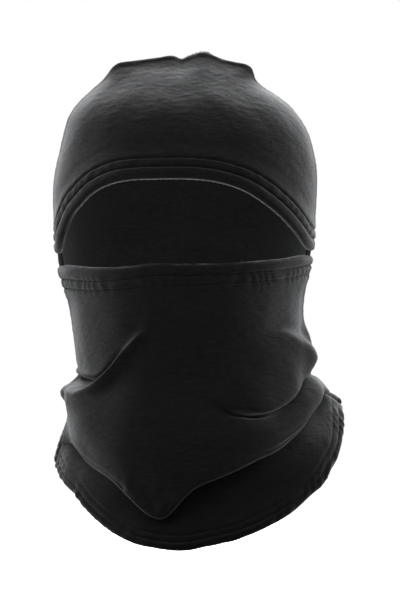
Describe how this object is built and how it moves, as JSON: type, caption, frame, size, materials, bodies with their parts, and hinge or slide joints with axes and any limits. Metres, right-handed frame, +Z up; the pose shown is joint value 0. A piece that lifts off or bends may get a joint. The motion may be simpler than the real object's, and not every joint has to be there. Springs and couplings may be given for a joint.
{
  "type": "balaclava",
  "caption": "Fleece full-head hood with an eye opening, a pull-down face mask and a flared neck piece, shown as worn on an absent head.",
  "frame": {"origin": "on the head axis, level with the lowest point of the front neck hem, at the centre of the neck opening", "axes": "+Z up along the head, the face looks along -Y, +X to the viewer's right as the face is seen from the front"},
  "size_m": [0.2169, 0.2189, 0.3614],
  "materials": {
    "fleece_hood": "matt napped fleece",
    "fleece_neck": "matt napped fleece",
    "fleece_mask": "matt napped fleece",
    "elastic": "woven",
    "label": "blank satin ribbon",
    "thread": "spun polyester"
  },
  "bodies": {
    "hood": {"hood_front_panel": "fleece_hood", "hood_back_left_panel": "fleece_hood", "hood_back_right_panel": "fleece_hood", "neck_front_panel": "fleece_neck", "brow_hem_elastic": "elastic", "care_label": "label", "crown_seam_thread": "thread", "centre_back_seam_thread": "thread", "left_side_seam_thread": "thread", "right_side_seam_thread": "thread", "throat_seam_thread": "thread", "brow_hem_stitch_outer": "thread", "brow_hem_stitch_inner": "thread", "neck_hem_stitch_upper": "thread", "neck_hem_stitch_lower": "thread", "left_corner_bartack": "thread", "right_corner_bartack": "thread"},
    "mask": {"mask_top_hem": "fleece_mask", "mask_hem_stitch_upper": "thread", "mask_hem_stitch_lower": "thread", "face_mask_panel": "fleece_mask"}
  },
  "joints": [
    {"name": "mask_pull_down", "type": "hinge", "parent": "hood", "child": "mask", "pos_m": [0, 0, 0.1865], "axis": [1, 0, 0], "range_deg": [0, 55], "deforming": ["face_mask_panel"]}
  ]
}
